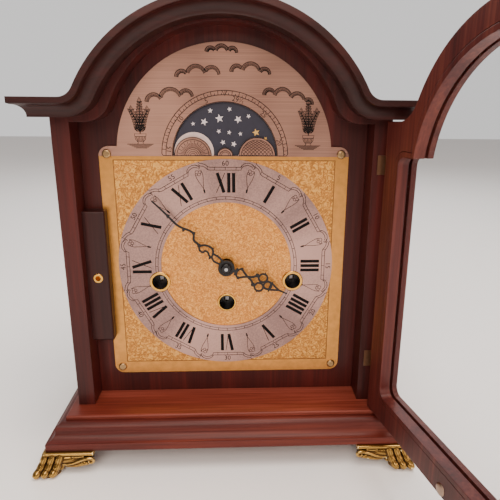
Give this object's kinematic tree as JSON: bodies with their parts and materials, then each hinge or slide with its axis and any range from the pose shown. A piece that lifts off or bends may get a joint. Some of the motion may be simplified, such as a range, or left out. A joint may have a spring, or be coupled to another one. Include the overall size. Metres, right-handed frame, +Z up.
{
  "type": "bracket clock",
  "caption": "Wooden bracket clock with an arched hood, hinged glazed door, gilt and silvered dial with moon disc, turning hands, chiming movement, rear door and brass claw feet.",
  "frame": {"origin": "on the plane the feet stand on, under the middle of the plinth", "axes": "+X to the viewer's right when facing the dial, -Y out of the dial, +Z up"},
  "size_m": [0.3326, 0.416, 0.3504],
  "materials": {
    "mahogany": "high-gloss dark red-brown lacquer",
    "mahogany_light": "high-gloss red-brown lacquer",
    "brass_bright": "polished and lacquered",
    "gilt_dial": "matted and gilt",
    "silvered": "silvered and brushed",
    "black_hands": "black, semi-gloss",
    "moon_blue": "satin paint",
    "door_glass": "clear",
    "movement_brass": "satin",
    "steel": "polished",
    "iron": "painted black"
  },
  "bodies": {
    "case": {"back_frame": "mahogany", "balance_cock": "movement_brass", "catch_block": "mahogany", "catch_bush": "brass_bright", "chapter_ring": "silvered", "chime_rod_block": "iron", "chime_rods": "steel", "claw_foot_front_left": "brass_bright", "claw_foot_front_right": "brass_bright", "claw_foot_rear_left": "brass_bright", "claw_foot_rear_right": "brass_bright", "cornice_moulding": "mahogany", "dial_arch_plate": "silvered", "dial_plate": "gilt_dial", "dial_screws": "brass_bright", "door_hinge_case_leaves": "brass_bright", "floor_board": "mahogany_light", "hammer_shaft": "steel", "head_board": "mahogany", "mask_board": "mahogany", "minute_wheel_stud": "steel", "moon_bridge": "movement_brass", "movement_back_plate": "movement_brass", "movement_brackets": "steel", "movement_front_plate": "movement_brass", "movement_pillars": "movement_brass", "plinth_moulding": "mahogany_light", "rear_button_screw": "brass_bright", "rear_hinge_frame_leaves": "brass_bright", "roof_board": "mahogany", "side_board_left": "mahogany", "side_board_right": "mahogany", "winding_hole_bushes": "brass_bright"},
    "front_door": {"door_frame": "mahogany", "glazing_bead": "mahogany", "door_glass": "door_glass", "door_knob": "brass_bright", "door_catch_pin": "brass_bright", "door_hinge_door_leaves": "brass_bright"},
    "minute_arbor": {"minute_hand": "black_hands", "cannon_pinion": "steel", "centre_arbor": "steel", "hand_nut": "black_hands"},
    "hour_pipe": {"hour_hand": "black_hands", "hour_wheel": "movement_brass"},
    "minute_wheel_body": {"minute_wheel": "movement_brass"},
    "moon": {"moon_disc": "moon_blue"},
    "chime_barrel": {"barrel_chime": "movement_brass"},
    "time_barrel": {"barrel_time": "movement_brass"},
    "strike_barrel": {"barrel_strike": "movement_brass"},
    "balance": {"balance_wheel": "movement_brass"},
    "hammer_a": {"hammer_1": "movement_brass"},
    "hammer_b": {"hammer_2": "movement_brass"},
    "hammer_c": {"hammer_3": "movement_brass"},
    "hammer_d": {"hammer_4": "movement_brass"},
    "rear_door_body": {"rear_door": "mahogany", "rear_hinge_door_leaves": "brass_bright"},
    "rear_button": {"rear_turn_button": "brass_bright"}
  },
  "joints": [
    {"name": "front_door_swing", "type": "hinge", "parent": "case", "child": "front_door", "pos_m": [0.1217, -0.0727, 0.1554], "axis": [0, 0, 1], "range_deg": [-102.4, 12]},
    {"name": "minute_hand_turn", "type": "hinge", "parent": "case", "child": "minute_arbor", "pos_m": [0, -0.0471, 0.1554], "axis": [0, 1, 0], "continuous": true},
    {"name": "hour_hand_turn", "type": "hinge", "parent": "case", "child": "hour_pipe", "pos_m": [0, -0.0471, 0.1554], "axis": [0, 1, 0], "continuous": true},
    {"name": "minute_wheel_turn", "type": "hinge", "parent": "case", "child": "minute_wheel_body", "pos_m": [0.01892, -0.027, 0.16633], "axis": [0, 1, 0], "continuous": true},
    {"name": "moon_disc_turn", "type": "hinge", "parent": "case", "child": "moon", "pos_m": [0, -0.044, 0.2434], "axis": [0, 1, 0], "continuous": true},
    {"name": "chime_barrel_wind", "type": "hinge", "parent": "case", "child": "chime_barrel", "pos_m": [-0.0538, -0.02, 0.1424], "axis": [0, 1, 0], "continuous": true},
    {"name": "time_barrel_wind", "type": "hinge", "parent": "case", "child": "time_barrel", "pos_m": [0, -0.02, 0.1238], "axis": [0, 1, 0], "continuous": true},
    {"name": "strike_barrel_wind", "type": "hinge", "parent": "case", "child": "strike_barrel", "pos_m": [0.0538, -0.02, 0.1424], "axis": [0, 1, 0], "continuous": true},
    {"name": "balance_swing", "type": "hinge", "parent": "case", "child": "balance", "pos_m": [0.026, 0.023, 0.1934], "axis": [0, 1, 0], "range_deg": [-135, 135], "stiffness_Nm_per_rad": 0.00003},
    {"name": "hammer_a_lift", "type": "hinge", "parent": "case", "child": "hammer_a", "pos_m": [-0.036, 0.0309, 0.09295], "axis": [0, -1, 0], "range_deg": [0, 25]},
    {"name": "hammer_b_lift", "type": "hinge", "parent": "case", "child": "hammer_b", "pos_m": [-0.036, 0.0379, 0.09295], "axis": [0, -1, 0], "range_deg": [0, 25]},
    {"name": "hammer_c_lift", "type": "hinge", "parent": "case", "child": "hammer_c", "pos_m": [-0.036, 0.0449, 0.09295], "axis": [0, -1, 0], "range_deg": [0, 25]},
    {"name": "hammer_d_lift", "type": "hinge", "parent": "case", "child": "hammer_d", "pos_m": [-0.036, 0.0519, 0.09295], "axis": [0, -1, 0], "range_deg": [0, 25]},
    {"name": "rear_door_swing", "type": "hinge", "parent": "case", "child": "rear_door_body", "pos_m": [-0.089, 0.094, 0.146], "axis": [0, 0, 1], "range_deg": [0, 110]},
    {"name": "rear_button_turn", "type": "hinge", "parent": "case", "child": "rear_button", "pos_m": [0.093, 0.0933, 0.1594], "axis": [0, -1, 0], "range_deg": [0, 90]}
  ],
  "couplings": [
    {"joint": "hour_hand_turn", "follows": "minute_hand_turn", "ratio": 0.083333},
    {"joint": "minute_wheel_turn", "follows": "minute_hand_turn", "ratio": -0.33333},
    {"joint": "moon_disc_turn", "follows": "minute_hand_turn", "ratio": 0.00070547}
  ]
}
